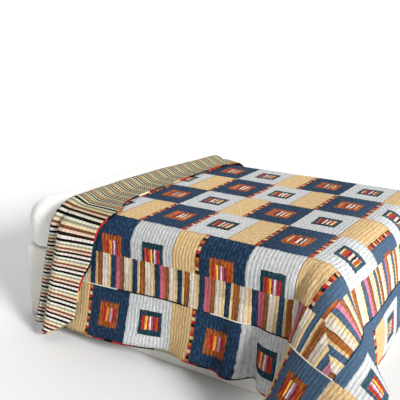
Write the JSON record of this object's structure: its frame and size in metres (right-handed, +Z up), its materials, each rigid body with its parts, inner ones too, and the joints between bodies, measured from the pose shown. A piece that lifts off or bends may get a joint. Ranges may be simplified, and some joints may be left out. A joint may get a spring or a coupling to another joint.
{
  "type": "quilted bedspread on a bed",
  "caption": "Quilted patchwork bedspread draped over a plain mattress and divan base, its head end folded back and its foot corners hanging in flared folds.",
  "frame": {"origin": "on the floor, under the middle of the divan base", "axes": "+X towards the foot of the bed, -Y towards the near side, +Z up"},
  "size_m": [2.3671, 2.5436, 0.8036],
  "materials": {
    "base_cover": "matt woven cover",
    "mattress_cover": "matt white cotton sheet",
    "quilt_cotton": "quilted printed and pieced cotton",
    "binding_cotton": "folded cotton tape"
  },
  "bodies": {
    "root": {"divan_base": "base_cover", "mattress": "mattress_cover", "quilt": "quilt_cotton", "binding_near": "binding_cotton", "binding_far": "binding_cotton", "binding_foot": "binding_cotton", "binding_head": "binding_cotton"}
  },
  "joints": []
}
